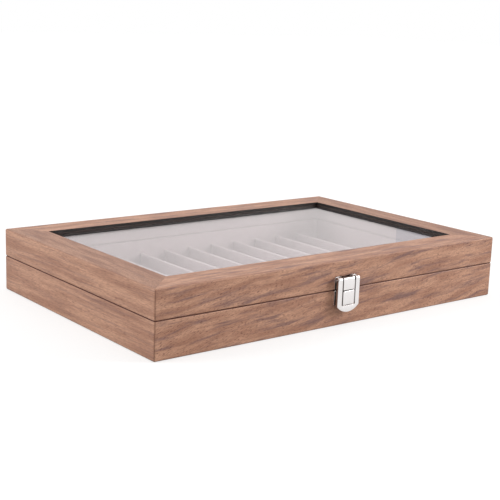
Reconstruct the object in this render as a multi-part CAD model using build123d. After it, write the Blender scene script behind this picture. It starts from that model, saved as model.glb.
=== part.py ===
from build123d import *
import math
import os

# A flat display case for pens: a base with velvet-covered slots, and a hinged lid with a
# glass window in a mitred frame, held shut by a box latch at the front.
# Millimetres. +Z is up, +X runs along the front to the right, +Y to the back.
# The origin is the centre of the underside.

# Outside of the case
case_width = 337.0
case_depth = 220.0
base_height = 28.0
lid_height = 22.0

# Walls of the base, and rails of the lid
wall_thickness = 14.0
frame_width = 25.4  # of the lid's top frame, from the outside to the window
lip_thickness = 3.0  # of that frame, over the glass
corner_radius = 1.35
top_edge_radius = 1.2
lid_seam_radius = 1.25
base_seam_radius = 1.2
bottom_edge_radius = 1.25
inner_edge_chamfer = 0.6  # inside the lid's lower edge

# Floor of the base
panel_thickness = 4.0
felt_thickness = 1.0
rebate_width = 7.0
panel_clearance = 0.2

# Window
glass_thickness = 3.0
glass_clearance = 0.3
glass_arris = 0.3
bead_height = 2.5
bead_setback = 0.2  # of the bead behind the edge of the window
bead_edge_radius = 0.6

# Velvet-covered linings
lining_thickness = 4.0
lining_edge_radius = 1.2
lining_upstand = 1.0  # of the base's lining above the seam
lining_gap = 0.5  # between the base's lining and the lid's
lining_joint = 0.2  # between two linings in a corner

# Pen slots
slot_count = 12
divider_thickness = 3.0
divider_height = 11.0  # above the floor pad
divider_edge_radius = 1.2
divider_end_gap = 0.2
pad_thickness = 2.0
pad_crown = 0.8

# Hinges at the back
hinge_inset = 63.5  # of the middle of each hinge from the end of the case
hinge_length = 30.0
hinge_knuckles = 3
knuckle_gap = 0.15
hinge_barrel_radius = 2.25
hinge_barrel_clearance = 0.2  # of the barrel behind the back wall
hinge_pin_radius = 1.1
hinge_leaf_thickness = 1.0
hinge_leaf_depth = 10.0
hinge_leaf_gap = 0.05  # of each leaf from the seam
mortise_clearance = 0.1
hinge_open_angle = 100.0
hinge_stop_clearance = 0.05
hinge_screw_count = 2
hinge_screw_pitch = 18.0
hinge_screw_radius = 0.9
hinge_screw_head_radius = 1.8
hinge_screw_length = 9.0

# Latch at the front
latch_width = 21.7
latch_rise = 10.2  # of the flap above the seam
latch_shoulder_drop = 11.7  # from the seam to the end of the flap's straight sides
latch_tip_drop = 16.7  # from the seam to the flap's lowest point
latch_reach = 5.5  # of the flap's face in front of the wall
flap_sheet = 0.6
flap_rim_depth = 2.3
flap_rim_thickness = 0.8
flap_edge_chamfer = 0.35
window_width = 13.2
window_drop = 11.2  # from the seam to the window's lower edge
latch_barrel_radius = 1.9
latch_pin_radius = 0.6
plate_thickness = 1.4
plate_overlap = 11.7  # of the base plate below the seam
plate_rise = 9.2  # of the lid plate above the seam
plate_gap = 0.3  # of each plate from the seam
plate_corner_radius = 1.0
ear_height = 1.2
ear_width = 5.6
block_width = 11.3
block_drop = 11.0  # from the seam to the catch block's lower edge
block_edge_radius = 0.35
flap_clearance = 0.15  # of the catch block behind the flap's sheet
latch_screw_radius = 0.6
latch_screw_head_radius = 1.1
latch_screw_head = 0.5
latch_screw_length = 8.0
latch_screw_below = 5.5
latch_screw_above = 4.2

# Fits of pins and screws
pin_clearance = 0.06
pilot_clearance = 0.05
screw_facets = 10  # round a screw and the hole that it sits in

# Places that follow from the sizes
half_width = case_width / 2
half_depth = case_depth / 2
seam = base_height
case_top = base_height + lid_height
cavity_width = case_width - 2 * wall_thickness
cavity_depth = case_depth - 2 * wall_thickness
window_length = case_width - 2 * frame_width
window_depth = case_depth - 2 * frame_width
floor_top = felt_thickness + panel_thickness
glass_top = case_top - lip_thickness
glass_bottom = glass_top - glass_thickness
bead_bottom = glass_bottom - bead_height
inner_width = cavity_width - 2 * lining_thickness
inner_depth = cavity_depth - 2 * lining_thickness
base_lining_top = seam + lining_upstand
lid_lining_bottom = base_lining_top + lining_gap
pad_top = floor_top + pad_thickness
slot_pitch = inner_width / slot_count
hinge_axis_y = half_depth + hinge_barrel_clearance + hinge_barrel_radius
latch_face_y = -half_depth - latch_reach
latch_axis_y = latch_face_y + latch_barrel_radius
latch_axis_z = seam + latch_rise - latch_barrel_radius
latch_shoulder = seam - latch_shoulder_drop
latch_tip = seam - latch_tip_drop
window_bottom = seam - window_drop
block_bottom = seam - block_drop
catch_face_y = latch_face_y + flap_sheet + flap_clearance
plate_face_y = -half_depth - plate_thickness
latch_screw_x = (latch_width / 2 - flap_rim_thickness + block_width / 2) / 2
SIDES = ("front", "back", "left", "right")


def block(x_range, y_range, z_range):
    """A box between two values along each axis."""
    ranges = (x_range, y_range, z_range)
    middle = [(low + high) / 2 for low, high in ranges]
    return Pos(*middle) * Box(*[high - low for low, high in ranges])


def centred(width, depth, z_range):
    """A box centred on the Z axis."""
    return block((-width / 2, width / 2), (-depth / 2, depth / 2), z_range)


def rod(start, end, radius):
    """A cylinder between two points that differ along one axis."""
    span = Vector(*end) - Vector(*start)
    plane = Plane(origin=start, z_dir=span)
    return extrude(plane * Circle(radius), span.length)


def shank(start, end, radius):
    """A faceted rod between two points that differ along one axis, for screws and their holes."""
    span = Vector(*end) - Vector(*start)
    plane = Plane(origin=start, z_dir=span)
    return extrude(plane * RegularPolygon(radius, screw_facets), span.length)


def joined(solids):
    """The union of a list of solids."""
    first, *rest = solids
    return first.fuse(*rest) if rest else first


def mitre_zone(side):
    """The wedge of space that belongs to one side, between the 45-degree lines of its corners."""
    margin = corner_radius + lip_thickness
    x, y = half_width + margin, half_depth + margin
    ridge = x - y
    corners = {
        "front": [(-x, -y), (x, -y), (ridge, 0), (-ridge, 0)],
        "back": [(x, y), (-x, y), (-ridge, 0), (ridge, 0)],
        "left": [(-x, y), (-x, -y), (-ridge, 0)],
        "right": [(x, -y), (x, y), (ridge, 0)],
    }[side]
    outline = Polyline(*corners, close=True)
    return extrude(Pos(0, 0, -margin) * make_face(outline), case_top + 2 * margin)


def mitred(ring, pattern):
    """Cut a ring along its corner diagonals into four named sides."""
    return {pattern.format(side): ring & mitre_zone(side) for side in SIDES}


def eased_block(low, high, low_radius, high_radius):
    """The outer block of the base or lid, with rounded corners and eased edges."""
    solid = centred(case_width, case_depth, (low, high))
    solid = fillet(solid.edges().filter_by(Axis.Z), corner_radius)
    limit = 0.95 * corner_radius
    solid = fillet(solid.faces().sort_by(Axis.Z)[-1].edges(), min(high_radius, limit))
    return fillet(solid.faces().sort_by(Axis.Z)[0].edges(), min(low_radius, limit))


def hinge_places():
    """The middle of each hinge along the back."""
    reach = half_width - hinge_inset
    return {"left": -reach, "right": reach}


def hinge_screw_places():
    """The screws of every hinge, seen from above."""
    first = -hinge_screw_pitch * (hinge_screw_count - 1) / 2
    y = half_depth - hinge_leaf_depth / 2
    return [
        (middle + first + number * hinge_screw_pitch, y)
        for middle in hinge_places().values()
        for number in range(hinge_screw_count)
    ]


def mortise(middle, towards):
    """The recess in a back wall for one hinge leaf, below (-1) or above (+1) the seam."""
    length = hinge_length / 2 + mortise_clearance
    depth = hinge_leaf_gap + hinge_leaf_thickness + mortise_clearance / 2
    front = half_depth - hinge_leaf_depth - mortise_clearance
    z_range = sorted((seam - towards * corner_radius, seam + towards * depth))
    return block((middle - length, middle + length), (front, hinge_axis_y), z_range)


def hinge_screw_holes(towards):
    """Pilot holes for the hinge screws, down into the base (-1) or up into the lid (+1)."""
    radius = hinge_screw_radius + pilot_clearance
    end = seam + towards * (hinge_leaf_gap + hinge_screw_length + pilot_clearance)
    return [shank((x, y, seam), (x, y, end), radius) for x, y in hinge_screw_places()]


def latch_screw_heights():
    """Height of the latch screws in the base and in the lid."""
    return {"base": seam - latch_screw_below, "lid": seam + latch_screw_above}


def latch_screw_holes(where):
    """Pilot holes for the latch screws in the front wall or the front rail."""
    z = latch_screw_heights()[where]
    depth = latch_screw_length - plate_thickness + pilot_clearance
    radius = latch_screw_radius + pilot_clearance
    return [
        shank((x, -half_depth, z), (x, -half_depth + depth, z), radius)
        for x in (-latch_screw_x, latch_screw_x)
    ]


def make_base():
    """Four mitred walls, rebated below for the bottom panel."""
    ring = eased_block(0, seam, bottom_edge_radius, base_seam_radius)
    ring -= centred(cavity_width, cavity_depth, (-1, seam + 1))
    rebate = 2 * rebate_width
    ring -= centred(cavity_width + rebate, cavity_depth + rebate, (-1, floor_top))
    ring -= [mortise(middle, -1) for middle in hinge_places().values()]
    ring -= hinge_screw_holes(-1) + latch_screw_holes("base")
    width = cavity_width + rebate - 2 * panel_clearance
    depth = cavity_depth + rebate - 2 * panel_clearance
    return {
        **mitred(ring, "base_{}_wall"),
        "base_bottom_panel": centred(width, depth, (felt_thickness, floor_top)),
        "underside_felt": centred(width, depth, (0, felt_thickness)),
    }


def make_lid():
    """Four mitred rails whose lip stands over the glass, and the glass on its beads."""
    ring = eased_block(seam, case_top, lid_seam_radius, top_edge_radius)
    cavity = centred(cavity_width, cavity_depth, (seam, glass_top))
    mouth = 2 * inner_edge_chamfer
    flare = loft(
        [
            Pos(0, 0, seam) * Rectangle(cavity_width + mouth, cavity_depth + mouth),
            Pos(0, 0, seam + inner_edge_chamfer) * Rectangle(cavity_width, cavity_depth),
        ]
    )
    ring -= [cavity, flare, centred(window_length, window_depth, (seam, case_top + 1))]
    ring -= [mortise(middle, 1) for middle in hinge_places().values()]
    ring -= hinge_screw_holes(1) + latch_screw_holes("lid")

    sheet_width = cavity_width - 2 * glass_clearance
    sheet_depth = cavity_depth - 2 * glass_clearance
    glass = centred(sheet_width, sheet_depth, (glass_bottom, glass_top))
    glass = chamfer(glass.edges().filter_by(Axis.Z), glass_arris)

    beads = centred(sheet_width, sheet_depth, (bead_bottom, glass_bottom))
    setback = 2 * bead_setback
    beads -= centred(window_length + setback, window_depth + setback, (bead_bottom, glass_bottom))
    opening = beads.faces().sort_by(Axis.Z)[0].inner_wires()[0]
    beads = fillet(opening.edges(), bead_edge_radius)
    return {
        **mitred(ring, "lid_{}_rail"),
        "window_glass": glass,
        **mitred(beads, "glass_bead_{}"),
    }


def lining_board(length, z_range, rounded_top):
    """A velvet-covered board along X, its wall side at y=0, with the free long edges rounded."""
    board = block((-length / 2, length / 2), (0, lining_thickness), z_range)
    end = board.faces().sort_by(Axis.Z)[-1 if rounded_top else 0]
    return fillet(end.edges().filter_by(Axis.X), lining_edge_radius)


def make_linings(pattern, z_range, rounded_top):
    """Lining boards round the cavity, the side ones between the front and back ones."""
    long_board = lining_board(cavity_width - 2 * lining_joint, z_range, rounded_top)
    side_board = lining_board(inner_depth - 2 * lining_joint, z_range, rounded_top)
    turns = {
        "front": (Pos(0, -cavity_depth / 2, 0), long_board),
        "back": (Pos(0, cavity_depth / 2, 0) * Rot(0, 0, 180), long_board),
        "left": (Pos(-cavity_width / 2, 0, 0) * Rot(0, 0, -90), side_board),
        "right": (Pos(cavity_width / 2, 0, 0) * Rot(0, 0, 90), side_board),
    }
    return {pattern.format(side): place * board for side, (place, board) in turns.items()}


def make_slots():
    """The floor pad, crowned in each slot, and the dividers that stand in its channels."""
    edge = inner_width / 2
    dividers_x = [-edge + number * slot_pitch for number in range(1, slot_count)]
    starts = [-edge] + [x + divider_thickness / 2 for x in dividers_x]
    ends = [x - divider_thickness / 2 for x in dividers_x] + [edge]
    lines = []
    for start, end in zip(starts, ends):
        crown = ((start + end) / 2, pad_thickness + pad_crown)
        lines.append(ThreePointArc((start, pad_thickness), crown, (end, pad_thickness)))
    for end, start in zip(ends, starts[1:]):
        lines.append(Line((end, pad_thickness), (start, pad_thickness)))
    lines.append(Polyline((edge, pad_thickness), (edge, 0), (-edge, 0), (-edge, pad_thickness)))
    section = Plane.XZ.offset(inner_depth / 2) * make_face(lines)
    pad = Pos(0, 0, floor_top) * extrude(section, -inner_depth)

    length = inner_depth - 2 * divider_end_gap
    board = centred(divider_thickness, length, (pad_top, pad_top + divider_height))
    board = fillet(
        board.faces().sort_by(Axis.Z)[-1].edges().filter_by(Axis.Y),
        min(divider_edge_radius, 0.45 * divider_thickness),
    )
    dividers = {f"divider_{n:02d}": Pos(x, 0, 0) * board for n, x in enumerate(dividers_x, 1)}
    return {"slot_floor_pad": pad, **dividers}


def hinge_leaf(towards, owned):
    """One leaf, in the base (-1) or the lid (+1), with the knuckles that it owns.

    A lid knuckle has a square heel behind and below the pin, which meets the back wall and
    stops the lid when it has turned by the opening angle.
    """
    pitch = hinge_length / hinge_knuckles
    z_range = sorted(seam + towards * z for z in (hinge_leaf_gap, hinge_leaf_gap + hinge_leaf_thickness))
    plate = block(
        (-hinge_length / 2, hinge_length / 2), (half_depth - hinge_leaf_depth, half_depth), z_range
    )
    reach = hinge_barrel_clearance + hinge_barrel_radius
    turn = math.radians(hinge_open_angle)
    heel_drop = (reach + hinge_barrel_radius * math.cos(turn)) / math.sin(turn) - hinge_stop_clearance
    solids = [plate]
    for number in owned:
        low = -hinge_length / 2 + number * pitch + knuckle_gap / 2
        high = low + pitch - knuckle_gap
        x_range = (low, high)
        solids.append(rod((low, hinge_axis_y, seam), (high, hinge_axis_y, seam), hinge_barrel_radius))
        solids.append(block(x_range, (half_depth, hinge_axis_y), z_range))
        if towards > 0:
            solids.append(
                block(x_range, (hinge_axis_y, hinge_axis_y + hinge_barrel_radius), (seam - heel_drop, seam))
            )
    leaf = joined(solids)
    bore = rod(
        (-hinge_length, hinge_axis_y, seam),
        (hinge_length, hinge_axis_y, seam),
        hinge_pin_radius + pin_clearance,
    )
    return leaf - bore


def countersunk(x, y, towards, clearance):
    """A countersunk screw of the hinge, or with a clearance the hole that it sits in."""
    face = seam + towards * hinge_leaf_gap
    neck = face + towards * hinge_leaf_thickness
    radius = hinge_screw_radius + clearance
    cone = loft(
        [
            Pos(x, y, face) * RegularPolygon(hinge_screw_head_radius + clearance, screw_facets),
            Pos(x, y, neck) * RegularPolygon(radius, screw_facets),
        ],
        ruled=True,
    )
    return joined([cone, shank((x, y, face), (x, y, face + towards * hinge_screw_length), radius)])


def make_hinges():
    """Two mortised butt hinges with stop heels, and their screws."""
    base_owned = range(0, hinge_knuckles, 2)
    lid_owned = range(1, hinge_knuckles, 2)
    holes = {t: [countersunk(x, y, t, pilot_clearance) for x, y in hinge_screw_places()] for t in (-1, 1)}
    nodes = {}
    for side, middle in hinge_places().items():
        nodes[f"hinge_{side}_base_leaf"] = Pos(middle, 0, 0) * hinge_leaf(-1, base_owned) - holes[-1]
        nodes[f"hinge_{side}_lid_leaf"] = Pos(middle, 0, 0) * hinge_leaf(1, lid_owned) - holes[1]
        nodes[f"hinge_{side}_pin"] = rod(
            (middle - hinge_length / 2, hinge_axis_y, seam),
            (middle + hinge_length / 2, hinge_axis_y, seam),
            hinge_pin_radius,
        )
    for towards, where in ((-1, "base"), (1, "lid")):
        screws = [countersunk(x, y, towards, 0) for x, y in hinge_screw_places()]
        nodes[f"hinge_{where}_screws"] = Compound(screws)
    return nodes


def across(half, y, z, radius):
    """A rod along X, centred on the latch."""
    return rod((-half, y, z), (half, y, z), radius)


def flap_outline(inset):
    """The flap's outline seen from the front, drawn in by an inset."""
    half = latch_width / 2 - inset
    sides = Polyline(
        (-half, latch_shoulder), (-half, latch_axis_z), (half, latch_axis_z), (half, latch_shoulder)
    )
    tip = ThreePointArc((half, latch_shoulder), (0, latch_tip + inset), (-half, latch_shoulder))
    return make_face([*sides.edges(), tip])


def front_extrusion(face, nearest_y, depth):
    """Extrude a face drawn in X and Z backwards from a distance in front of the case."""
    return extrude(Plane(origin=(0, nearest_y, 0), x_dir=(1, 0, 0), z_dir=(0, -1, 0)) * face, -depth)


def make_flap():
    """The stamped flap: a shield with a window, a turned-back rim and a knuckle on each arm.

    The rim stops short of the window's width at the tip, so that it passes the catch block.
    """
    shell = front_extrusion(flap_outline(0), latch_face_y, flap_rim_depth)
    rim = shell.faces().sort_by(Axis.Y)[0].edges()
    shell = chamfer([*rim.filter_by(GeomType.CIRCLE), *rim.filter_by(Axis.Z)], flap_edge_chamfer)
    hollow = front_extrusion(
        flap_outline(flap_rim_thickness), latch_face_y + flap_sheet, flap_rim_depth
    )
    half_window = window_width / 2
    behind_sheet = (latch_face_y + flap_sheet, latch_face_y + flap_rim_depth + 1)
    whole_front = (latch_face_y - 1, latch_face_y + flap_rim_depth + 1)
    shell -= hollow
    shell -= block((-half_window, half_window), behind_sheet, (latch_tip - 1, latch_axis_z + 1))
    shell -= block((-half_window, half_window), whole_front, (window_bottom, latch_axis_z + 1))
    arm = (half_window, latch_width / 2)
    knuckles = [
        rod(
            (sign * arm[0], latch_axis_y, latch_axis_z),
            (sign * arm[1], latch_axis_y, latch_axis_z),
            latch_barrel_radius,
        )
        for sign in (-1, 1)
    ]
    bore = across(latch_width, latch_axis_y, latch_axis_z, latch_pin_radius + pin_clearance)
    return joined([shell, *knuckles]) - bore


def plate_with_holes(face, where):
    """A latch plate drawn from the front, with its two screw holes."""
    plate = front_extrusion(face, plate_face_y, plate_thickness)
    z = latch_screw_heights()[where]
    radius = latch_screw_radius + pilot_clearance
    return plate - [
        shank((x, plate_face_y, z), (x, -half_depth, z), radius) for x in (-latch_screw_x, latch_screw_x)
    ]


def raised_block(z_range, face_y):
    """The block that shows in the flap's window, its front edges eased all but the upper one."""
    solid = block((-block_width / 2, block_width / 2), (face_y, plate_face_y), z_range)
    return fillet(solid.faces().sort_by(Axis.Y)[0].edges().sort_by(Axis.Z)[:-1], block_edge_radius)


def make_latch():
    """The lid plate with its knuckle and pin, the base plate with its catch block, and the flap."""
    half = latch_width / 2
    low, high = seam + plate_gap, seam + plate_rise
    step = half - ear_width
    lid_face = make_face(
        Polyline(
            (-half, low),
            (half, low),
            (half, high + ear_height),
            (step, high + ear_height),
            (step, high),
            (-step, high),
            (-step, high + ear_height),
            (-half, high + ear_height),
            close=True,
        )
    )
    ears = lid_face.vertices().group_by(Axis.Y)[-1]
    lid_face = fillet(ears, min(plate_corner_radius, 0.9 * ear_height))
    lid_block = raised_block((low, latch_axis_z), latch_face_y)
    knuckle = across(block_width / 2, latch_axis_y, latch_axis_z, latch_barrel_radius)
    bore = across(latch_width, latch_axis_y, latch_axis_z, latch_pin_radius + pin_clearance)
    lid_plate = joined([plate_with_holes(lid_face, "lid"), lid_block, knuckle]) - bore

    bottom = seam - plate_overlap
    base_face = make_face(
        Polyline(
            (-half, bottom), (half, bottom), (half, seam - plate_gap), (-half, seam - plate_gap), close=True
        )
    )
    base_face = fillet(base_face.vertices().group_by(Axis.Y)[0], plate_corner_radius)
    base_block = raised_block((block_bottom, seam - plate_gap), catch_face_y)
    nodes = {
        "latch_flap": make_flap(),
        "latch_lid_plate": lid_plate,
        "latch_base_plate": joined([plate_with_holes(base_face, "base"), base_block]),
        "latch_pin": across(half, latch_axis_y, latch_axis_z, latch_pin_radius),
    }
    for where, z in latch_screw_heights().items():
        screws = []
        for x in (-latch_screw_x, latch_screw_x):
            root = (x, plate_face_y, z)
            head = shank(root, (x, plate_face_y - latch_screw_head, z), latch_screw_head_radius)
            end = (x, plate_face_y + latch_screw_length, z)
            screws.append(joined([head, shank(root, end, latch_screw_radius)]))
        nodes[f"latch_{where}_screws"] = Compound(screws)
    return nodes


nodes = {
    **make_base(),
    **make_lid(),
    **make_linings("base_lining_{}", (floor_top, base_lining_top), True),
    **make_linings("lid_lining_{}", (lid_lining_bottom, bead_bottom), False),
    **make_slots(),
    **make_hinges(),
    **make_latch(),
}
os.makedirs("parts", exist_ok=True)
for name, solid in nodes.items():
    export_step(solid, f"parts/{name}.step")
print(len(nodes), "nodes")
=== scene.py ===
"""Dress a flat walnut pen case: its veneer, window, velvet slots, nickel fittings, and the studio.

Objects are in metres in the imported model's frame: +X runs along the front to the right, +Y to the
back, +Z up, and the origin is the centre of the underside. The sizes in the classes are in
millimetres, apart from the studio's, which are in metres where they say so.
"""
import logging
import math
from dataclasses import dataclass
from enum import Enum

import bpy
import numpy as np
from mathutils import Matrix, Vector


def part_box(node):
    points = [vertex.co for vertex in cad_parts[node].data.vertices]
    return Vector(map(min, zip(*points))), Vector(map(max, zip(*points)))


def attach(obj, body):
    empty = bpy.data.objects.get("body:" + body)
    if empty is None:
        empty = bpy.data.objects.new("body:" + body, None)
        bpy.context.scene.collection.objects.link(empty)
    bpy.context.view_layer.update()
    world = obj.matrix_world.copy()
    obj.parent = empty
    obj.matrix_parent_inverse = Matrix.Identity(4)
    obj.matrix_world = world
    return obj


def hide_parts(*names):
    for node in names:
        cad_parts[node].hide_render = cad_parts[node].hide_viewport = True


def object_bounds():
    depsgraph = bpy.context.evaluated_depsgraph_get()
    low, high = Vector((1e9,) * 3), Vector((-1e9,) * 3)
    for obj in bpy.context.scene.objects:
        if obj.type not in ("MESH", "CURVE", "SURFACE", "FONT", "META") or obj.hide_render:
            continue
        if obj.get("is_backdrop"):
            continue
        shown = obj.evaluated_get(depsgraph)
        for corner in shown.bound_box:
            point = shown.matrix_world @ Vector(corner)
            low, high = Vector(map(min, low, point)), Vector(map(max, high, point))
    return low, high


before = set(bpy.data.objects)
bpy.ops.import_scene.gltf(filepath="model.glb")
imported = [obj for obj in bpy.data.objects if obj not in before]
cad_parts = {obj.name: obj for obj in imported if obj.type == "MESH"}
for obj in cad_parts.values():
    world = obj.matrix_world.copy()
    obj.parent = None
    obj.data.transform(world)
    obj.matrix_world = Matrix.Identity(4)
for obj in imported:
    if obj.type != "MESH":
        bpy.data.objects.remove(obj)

log = logging.getLogger("pen_case")
MM = 0.001
SIDES = ("front", "back", "left", "right")
Pair = tuple[float, float]
Triple = tuple[float, float, float]


# ---------------------------------------------------------------- shader maths


class Wire:
    """A number in a material's node graph, with Python's operators for its maths."""

    def __init__(self, graph: "Graph", socket: bpy.types.NodeSocket) -> None:
        """Hold a socket.

        Args:
            graph: the graph that new nodes go into.
            socket: the output that carries the number.
        """
        self.graph = graph
        self.socket = socket

    def maths(self, operation: str, *others: "Wire | float") -> "Wire":
        """Add one Math node whose first input is this number.

        Args:
            operation: the Math node's operation.
            others: its remaining inputs.

        Returns:
            The node's result.
        """
        inputs = dict(enumerate((self, *others)))
        return self.graph.add("ShaderNodeMath", {"operation": operation}, inputs)

    def __add__(self, other: "Wire | float") -> "Wire":
        """Add."""
        return self.maths("ADD", other)

    __radd__ = __add__

    def __sub__(self, other: "Wire | float") -> "Wire":
        """Subtract."""
        return self.maths("SUBTRACT", other)

    def __rsub__(self, other: float) -> "Wire":
        """Subtract from a number."""
        return (self * -1.0) + other

    def __mul__(self, other: "Wire | float") -> "Wire":
        """Multiply."""
        return self.maths("MULTIPLY", other)

    def __truediv__(self, other: "Wire | float") -> "Wire":
        """Divide."""
        return self.maths("DIVIDE", other)

    def __abs__(self) -> "Wire":
        """Take the size without the sign."""
        return self.maths("ABSOLUTE")

    def larger(self, other: "Wire | float") -> "Wire":
        """The larger of two numbers."""
        return self.maths("MAXIMUM", other)

    def above(self, other: "Wire | float") -> "Wire":
        """One where this is above the other number, and zero elsewhere."""
        return self.maths("GREATER_THAN", other)

    def ramp(self, low: float, high: float, start: float = 0.0, end: float = 1.0) -> "Wire":
        """Ease smoothly from one value to another.

        Args:
            low: where the ramp starts.
            high: where it ends.
            start: its value at and before low.
            end: its value at and after high.

        Returns:
            The eased value.
        """
        settings = {"interpolation_type": "SMOOTHSTEP"}
        inputs = {0: self, 1: low, 2: high, 3: start, 4: end}
        return self.graph.add("ShaderNodeMapRange", settings, inputs)


Number = Wire | float
Colour = Wire | tuple


class Graph:
    """The node graph of one material or world."""

    def __init__(self, owner: "bpy.types.Material | bpy.types.World") -> None:
        """Empty the owner's node tree.

        Args:
            owner: the material or world whose nodes are written.
        """
        owner.use_nodes = True
        self.tree = owner.node_tree
        self.tree.nodes.clear()

    def add(
        self,
        kind: str,
        settings: dict | None = None,
        inputs: dict | None = None,
        output: int | str = 0,
    ) -> Wire | None:
        """Add a node.

        Args:
            kind: the node's type.
            settings: its properties, which are set before its inputs.
            inputs: values or wires for its sockets, by name or number.
            output: which of its outputs is wanted.

        Returns:
            That output, or None for a node that has none.
        """
        node = self.tree.nodes.new(kind)
        for name, value in (settings or {}).items():
            setattr(node, name, value)
        for key, value in (inputs or {}).items():
            if isinstance(value, Wire):
                self.tree.links.new(value.socket, node.inputs[key])
            else:
                node.inputs[key].default_value = value
        return Wire(self, node.outputs[output]) if len(node.outputs) else None

    def place(self) -> tuple[Wire, Wire, Wire]:
        """The point on the piece, in millimetres in the row frame."""
        metres = self.split(self.add("ShaderNodeTexCoord", output="Object"))
        return tuple(axis * (1 / MM) for axis in metres)

    def facing(self) -> tuple[Wire, Wire, Wire]:
        """The direction that the surface faces, in the piece's own frame."""
        return self.split(self.add("ShaderNodeTexCoord", output="Normal"))

    def split(self, vector: Wire) -> tuple[Wire, Wire, Wire]:
        """The three numbers of a vector."""
        node = self.add("ShaderNodeSeparateXYZ", inputs={0: vector}).socket.node
        return tuple(Wire(self, node.outputs[i]) for i in range(3))

    def vector(self, x: Number, y: Number, z: Number) -> Wire:
        """A vector of three numbers."""
        return self.add("ShaderNodeCombineXYZ", inputs={0: x, 1: y, 2: z})

    def noise(
        self, x: Number, y: Number, z: Number,
        detail: float = 2.0, roughness: float = 0.5, bend: float = 0.0,
    ) -> Wire:
        """Smooth noise whose cells are one unit of its coordinates.

        Args:
            x: first coordinate.
            y: second coordinate.
            z: third coordinate.
            detail: how many finer layers are added.
            roughness: how strong the finer layers are.
            bend: how much the noise folds itself.

        Returns:
            The noise, around a half.
        """
        inputs = {
            "Vector": self.vector(x, y, z),
            "Scale": 1.0,
            "Detail": detail,
            "Roughness": roughness,
            "Distortion": bend,
        }
        return self.add("ShaderNodeTexNoise", inputs=inputs)

    def blend(self, amount: Number, first: Number, second: Number) -> Wire:
        """Go from one number to another by an amount."""
        inputs = {0: amount, 2: first, 3: second}
        return self.add("ShaderNodeMix", {"data_type": "FLOAT"}, inputs)

    def tint(self, amount: Number, first: Colour, second: Colour, how: str = "MIX") -> Wire:
        """Mix two colours.

        Args:
            amount: how much of the second colour.
            first: the first colour.
            second: the second colour.
            how: the Mix node's blend type.

        Returns:
            The mixed colour.
        """
        settings = {"data_type": "RGBA", "blend_type": how}
        inputs = {0: amount, 6: opaque(first), 7: opaque(second)}
        return self.add("ShaderNodeMix", settings, inputs, 2)

    def dimmed(self, colour: Wire, amount: Wire) -> Wire:
        """Multiply a colour by a number."""
        return self.tint(1.0, colour, self.vector(amount, amount, amount), "MULTIPLY")

    def bump(self, height: Wire, depth: float, strength: float = 1.0) -> Wire:
        """Turn a height into a normal.

        Args:
            height: the height, where one unit is the full depth.
            depth: that depth in millimetres.
            strength: how much of the effect shows.

        Returns:
            The normal.
        """
        inputs = {"Strength": strength, "Distance": depth * MM, "Height": height}
        return self.add("ShaderNodeBump", inputs=inputs, output="Normal")

    def rays(self, *kinds: str) -> tuple[Wire, ...]:
        """Masks that are one for rays of a kind, such as Camera or Shadow.

        Args:
            kinds: the kinds that are wanted.

        Returns:
            One mask for each kind.
        """
        path = self.add("ShaderNodeLightPath").socket.node
        return tuple(Wire(self, path.outputs[f"Is {kind} Ray"]) for kind in kinds)

    def principled(self, inputs: dict) -> None:
        """Send a principled shader with these inputs to the output."""
        self.surface(self.add("ShaderNodeBsdfPrincipled", inputs=inputs))

    def background(self, colour: Triple, strength: float) -> Wire:
        """The shader of a world of one colour."""
        inputs = {"Color": opaque(colour), "Strength": strength}
        return self.add("ShaderNodeBackground", inputs=inputs)

    def glow(self, colour: Colour) -> Wire:
        """The shader of a surface that sends out light of a colour, at strength one."""
        return self.add("ShaderNodeEmission", inputs={"Color": opaque(colour), "Strength": 1.0})

    def surface(self, shader: Wire) -> None:
        """Send a shader to the output."""
        owner = "World" if isinstance(self.tree.id_data, bpy.types.World) else "Material"
        self.add(f"ShaderNodeOutput{owner}", inputs={"Surface": shader})


def opaque(colour: Colour) -> Colour:
    """Give a plain colour its fourth number."""
    return (*colour, 1.0) if isinstance(colour, tuple) and len(colour) == 3 else colour


# ---------------------------------------------------------------- finishes


class Grain(Enum):
    """Which way the grain runs along a rail."""

    ALONG_X = "x"
    ALONG_Y = "y"


class Finish:
    """A material whose nodes are written by each finish in its own way."""

    name: str

    def write(self, graph: Graph) -> None:
        """Write the nodes.

        Args:
            graph: the material's graph.
        """
        raise NotImplementedError

    def material(self) -> bpy.types.Material:
        """Make the material.

        Returns:
            The finished material.
        """
        material = bpy.data.materials.new(self.name)
        self.write(Graph(material))
        return material


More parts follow.
